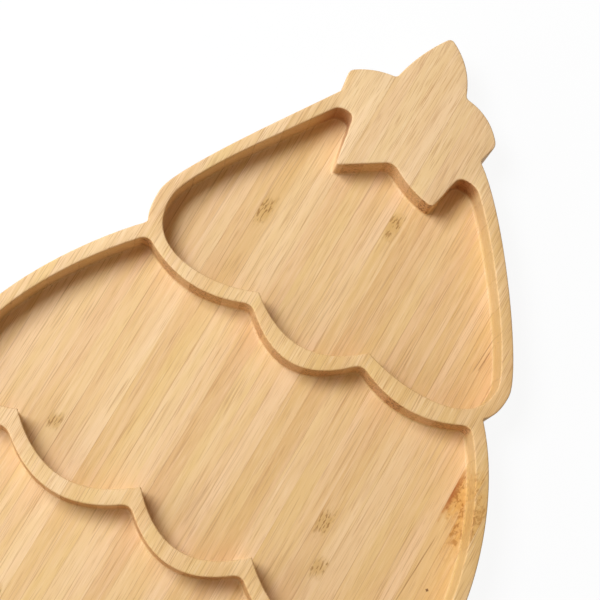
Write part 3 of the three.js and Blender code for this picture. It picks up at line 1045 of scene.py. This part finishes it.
def with_fibres(under):
    shown = 0.6 + wood.sanded * 0.36
    open_fibres = wood.fine.smooth(0.58, 0.7) * 0.4 + wood.threads.smooth(0.58, 0.72) * 0.28
    over = wood.mix(open_fibres * shown, under, OPEN_FIBRE)
    over = wood.mix(wood.fine.smooth(0.44, 0.3) * shown * 0.3, over, DENSE_FIBRE)
    cracks = wood.fibres(CRACK, 9, 0.0).smooth(0.66, 0.76)
    return wood.mix(cracks * (0.3 + wood.sanded * 0.06), over, CRACKED_FIBRE)


def glue_line():
    from_middle = (wood.from_joint - STRIP / 2).size()
    return from_middle.smooth(*GLUE_EDGE) * wood.fibres(GLUE_PATCH, 11).smooth(0.4, 0.62)


joint = glue_line()
grain = wood.mix(joint * (0.5 - wood.sanded * 0.12), with_fibres(grain), GLUE)
print("nodes with fibres and glue lines:", len(wood.tree.nodes))

# %% [markdown]
# Knuckles. Where leaves once grew, the fibres of the stalk tangle. Most knuckles are an olive wash with
# brown strokes in the middle of a strip. The two by the right rim are golden, with swirls in place of
# strokes, and the more golden one has a red-brown edge. A noise that is shifted by another noise draws the
# tangle.

# %% knuckles
TANGLE = (1.5, 4)
STROKE = (0.6, 3)
SWIRL = (1.1, 1.8)
# How ragged the ends of a knuckle are, and how far its hue moves it off the middle of the strip
RAGGED = 1.8
SIDESTEP = 1.2
# Where a knuckle fades: along the strip in shares of its reach, across it in millimetres
FADE_ALONG = (1.5, 0.2)
FADE_ACROSS = (3.1, 1.7)
OLIVE_WASH = colour(206, 162, 92)
GOLDEN_WASH = colour(214, 156, 74)
BROWN_STROKE = colour(152, 104, 50)
GOLDEN_STROKE = colour(170, 108, 42)
PALE_SWIRL = colour(244, 198, 118)
RED_EDGE = colour(172, 100, 50)
RED_EDGE_WIDTH = (2.4, 0.3)

golden = wood.golden
tangle = wood.figure(TANGLE, wood.seed)
swirls = wood.figure(SWIRL, tangle * 2.5, wood.seed, 1.0, 0.5)
strokes = wood.figure(STROKE, tangle * 1.2 + wood.seed, 0, 1.0, 0.5)


def near_knuckle():
    """1 in the knuckle and 0 away from it, with a tangled edge."""
    along = (wood.y - wood.attribute("knuckle")) / wood.attribute("knuckle_reach")
    from_knuckle = (along + (tangle - 0.5) * RAGGED).size()
    aside = (wood.from_joint - wood.blush * SIDESTEP - STRIP / 2).size()
    return from_knuckle.smooth(*FADE_ALONG) * golden.larger(aside.smooth(*FADE_ACROSS))


near = near_knuckle()
stroke = near * (strokes.smooth(0.52, 0.6) * (1 - golden) + swirls.smooth(0.5, 0.6) * golden)
red_edge = wood.from_joint.smooth(*RED_EDGE_WIDTH) * near * golden.smooth(0.85, 1)
grain = wood.mix(near * (golden * 0.1 + 0.65), grain, wood.mix(golden, OLIVE_WASH, GOLDEN_WASH))
grain = wood.mix(stroke * 0.75, grain, wood.mix(golden, BROWN_STROKE, GOLDEN_STROKE))
grain = wood.mix(swirls.smooth(0.42, 0.3) * near * golden * 0.35, grain, PALE_SWIRL)
grain = wood.mix(red_edge * 0.85, grain, RED_EDGE)
print("nodes with the knuckles:", len(wood.tree.nodes))

# %% [markdown]
# Single marks. There is one dark fleck by the right rim, and a few fibres have split, which shows as thin
# dark lines that lean a little. They are too few for a noise, so each has its place.

# %% fleck and splits
# Place of the fleck, and the distances from its middle at which it starts and is full, in millimetres
FLECK = (83.8, -26.7)
FLECK_SIZE = (0.9, 0.4)
FLECK_COLOUR = colour(104, 62, 28)
# Fibres that have split: the place of the middle and half the length, in millimetres
SPLITS = [(60.9, 58.4, 9), (62.2, 56.4, 5), (76.6, -23, 17)]
SPLIT_LEAN = 0.06
SPLIT_WIDTH = (0.3, 0.08)
SPLIT_CORE = 0.6
SPLIT_COLOUR = colour(146, 92, 42)


def split_line(split_x, split_y, reach):
    beyond = wood.y - split_y
    line = (wood.x - split_x - beyond * SPLIT_LEAN).size().smooth(*SPLIT_WIDTH)
    return line * beyond.size().smooth(reach, reach * SPLIT_CORE)


fleck = ((wood.x - FLECK[0]).size() + (wood.y - FLECK[1]).size()).smooth(*FLECK_SIZE)
grain = wood.mix(fleck * 0.85, grain, FLECK_COLOUR)
for split in SPLITS:
    grain = wood.mix(split_line(*split) * 0.55, grain, SPLIT_COLOUR)
print("nodes with the single marks:", len(wood.tree.nodes))

# %% [markdown]
# Walls. A wall that runs along the fibres is painted a little paler than the floor, as painted light, so that
# a lit wall blends into the floor and the warm bounce between them stays weak. On the right side these walls
# and the coves below them are painted darker and yellower, as painted shade where the lamps light them most.
# A wall that cuts across the fibres shows end grain: it is browner, partly as end grain is and partly as
# painted shade, and the ends of the bundles are dark dots. The attributes on the strips say which wall is
# which, so that one turns into the other without a seam where a wall bends.

# %% walls
DOT = (0.9, 20)
PAINTED_PALE_LONG_WALL = colour(240, 206, 160)
PAINTED_SHADE_RIGHT_WALL = colour(184, 162, 90)
# Painted shade: places across the board between which the walls and coves get darker and yellower
RIGHT_SHADE_ZONE = (10, 50)
END_GRAIN_AND_SHADE = colour(186, 122, 64)
END_DOT = colour(112, 70, 34)

dots = wood.figure(DOT, wood.seed)
dense = 0.5 - wood.tone * 0.4
long_wall = wood.upright.smooth(0.2, 0.9) * (1 - wood.end_grain)
# Painted light: the long walls are painted paler than the floor
grain = wood.mix(long_wall * 0.2, grain, PAINTED_PALE_LONG_WALL)
# The walls across the fibres are browner, partly from their end grain and partly as painted shade
grain = wood.mix(wood.end_grain * (dense * 0.4 + 0.15), grain, END_GRAIN_AND_SHADE)
grain = wood.mix(wood.end_grain * dots.smooth(0.48, 0.62) * dense * 0.8, grain, END_DOT)
wall_and_cove = wood.upright.smooth(0.02, 0.35) * (1 - wood.sanded)
painted_shade_right_walls = wall_and_cove * (1 - wood.end_grain) * wood.x.smooth(*RIGHT_SHADE_ZONE)
# Painted shade on the walls and coves of the right side, where the lamps light them most
grain = wood.mix(painted_shade_right_walls * 0.3, grain, PAINTED_SHADE_RIGHT_WALL)
print("nodes with the walls:", len(wood.tree.nodes))

# %% [markdown]
# Painted shade in the corners. The walls and coves in the two tight corners by the star are painted
# red-brown, as painted shade for the dark, warm shade that gathers there. A picture could hold it, but the
# distance from
# each corner is enough: the shade is deepest there and fades out along the wall.

# %% painted shade in the corners
CORNER_SHADE = colour(150, 76, 32)
# How far the painted shade reaches from the left and from the right corner, in millimetres
CORNER_SHADE_REACHES = (24, 14)
CORNER_SHADE_CORE = 0.3

for armpit, reach in zip(armpits, CORNER_SHADE_REACHES):
    from_corner = (wood.x - armpit.x / MM).size() + (wood.y - (armpit.y + star_level) / MM).size()
    # Painted shade, deepest at the corner and fading along the walls and coves
    shaded = from_corner.smooth(reach, reach * CORNER_SHADE_CORE) * wall_and_cove
    grain = wood.mix(shaded * 0.5, grain, CORNER_SHADE)
print("nodes with the burnt corners:", len(wood.tree.nodes))

# %% [markdown]
# The finish. The tray has a soft sheen and no gloss, as bamboo has that is sanded and not varnished. Open
# fibres, strokes and joints lie a little deeper than the rest. At a tenth of a millimetre a bump shows that
# well enough, and the mesh stays light.

# %% finish of the bamboo
RELIEF_DEPTH = 0.12 * MM

relief = wood.threads * -0.5 - wood.fine - stroke * 0.4 - joint * 0.4
bump = wood.node("ShaderNodeBump", None, {"Strength": 0.3, "Distance": RELIEF_DEPTH, "Height": relief})
roughness = 0.48 + wood.fine * 0.12 + wood.end_grain * 0.15
bamboo_material = wood.surface(wood.node("ShaderNodeBsdfPrincipled", None, {
    "Base Color": grain, "Roughness": roughness, "Normal": bump, "Specular IOR Level": 0.3,
}))
for name, holder in pieces.items():
    holder.data.materials.append(bamboo_material)
    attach(holder, "root")
    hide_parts(name)
print("strips with bamboo:", len(pieces))

# %% [markdown]
# The floor. The tray is shown on a ground that is almost pure white. A plain white floor would stay grey
# beside a tray that is lit at a plain level. So this one shows the camera a brighter white than it has, as a
# lit backdrop does, and keeps a soft trace of the shadow.

# %% floor
FLOOR_REACH = 3
FLOOR_DROP = 0.1 * MM
BACKDROP_GLOW = 0.92
MOTTLE = 300
DULL_PAPER = (0.9, 0.9, 0.9, 1)
BRIGHT_PAPER = (0.93, 0.93, 0.93, 1)


def white_floor():
    sheet = Sheet("floor")
    x, y, z = sheet.place()
    shade = sheet.mix(sheet.noise(x / MOTTLE, y / MOTTLE, z), DULL_PAPER, BRIGHT_PAPER)
    paper = sheet.node("ShaderNodeBsdfPrincipled", None, {
        "Base Color": shade, "Roughness": 0.9, "Specular IOR Level": 0.0,
    })
    glow = sheet.node("ShaderNodeEmission", None, {"Color": (1, 1, 1, 1), "Strength": 1.0})
    rays = [sheet.node("ShaderNodeLightPath", None, None, output=name)
            for name in ("Is Camera Ray", "Is Glossy Ray", "Is Transmission Ray")]
    seen = rays[0].larger(rays[1]).larger(rays[2])
    shares = {0: seen * BACKDROP_GLOW, 1: paper, 2: glow}
    return sheet.surface(sheet.node("ShaderNodeMixShader", None, shares))


ground = bmesh.new()
bmesh.ops.create_grid(ground, x_segments=1, y_segments=1, size=FLOOR_REACH)
bmesh.ops.translate(ground, verts=ground.verts, vec=(0, 0, -FLOOR_DROP))
floor_mesh = bpy.data.meshes.new("floor")
ground.to_mesh(floor_mesh)
ground.free()
floor = bpy.data.objects.new("floor", floor_mesh)
scene.collection.objects.link(floor)
floor_mesh.materials.append(white_floor())
print("floor:", 2 * FLOOR_REACH, "m wide")

# %% [markdown]
# The light: an even warm sky and two soft boxes on the tray's left, one high and one low. They leave the
# walls on their own side in shade, which is what makes the pockets look deep, and the low one lights the
# walls across from it. A sun would do for the shade, but its shadows would have hard edges.

# %% light
SKY = 0.26
SKY_COLOUR = (1, 0.84, 0.65)
LAMP_COLOUR = (1, 1.07, 1.16)
LAMP_DISTANCE = 1.0
# Bearing and elevation in degrees, size in metres and power in watts
LAMPS = {
    "key": {"bearing": 177, "elevation": 55, "size": 0.45, "power": 8.5},
    "side": {"bearing": 212, "elevation": 22, "size": 0.5, "power": 2.6},
}

world = bpy.data.worlds.new("sky")
world.use_nodes = True
background = world.node_tree.nodes["Background"]
background.inputs["Color"].default_value = (*SKY_COLOUR, 1)
background.inputs["Strength"].default_value = SKY
scene.world = world


def soft_box(name, bearing, elevation, size, power):
    """A square lamp aimed at the middle of the tray."""
    data = bpy.data.lights.new(name, "AREA")
    data.shape = "SQUARE"
    data.size = size
    data.energy = power
    data.color = LAMP_COLOUR
    turn, rise = math.radians(bearing), math.radians(elevation)
    toward = Vector((math.cos(rise) * math.cos(turn), math.cos(rise) * math.sin(turn), math.sin(rise)))
    holder = bpy.data.objects.new(name, data)
    holder.location = toward * LAMP_DISTANCE
    holder.rotation_euler = toward.to_track_quat("Z", "Y").to_euler()
    scene.collection.objects.link(holder)


for name, values in LAMPS.items():
    soft_box(name, **values)

# %% [markdown]
# The camera stands almost straight above, a little toward the trunk, and is rolled so that the tree leans to
# the right across the picture. The frame cuts off the lowest tier. Its direction is built from the point
# that it is aimed at, and the roll turns it about that line, which is easier to set than three angles.

# %% camera
CAMERA_PLACE = Vector((-3.7, -113.1, 607)) * MM
CAMERA_AIM = Vector((-7.2, 37.9, 18)) * MM
LENS = 102.2
SENSOR = 36
PICTURE_ROLL = 29.3

camera_data = bpy.data.cameras.new("camera")
camera_data.lens = LENS
camera_data.sensor_width = SENSOR
camera = bpy.data.objects.new("camera", camera_data)
camera.location = CAMERA_PLACE
aimed = (CAMERA_AIM - CAMERA_PLACE).to_track_quat("-Z", "Y")
rolled = aimed @ Quaternion((0, 0, 1), math.radians(PICTURE_ROLL))
camera.rotation_euler = rolled.to_euler()
scene.collection.objects.link(camera)
scene.camera = camera
scene.view_settings.view_transform = "Standard"
print("camera at", [round(value, 3) for value in camera.location])
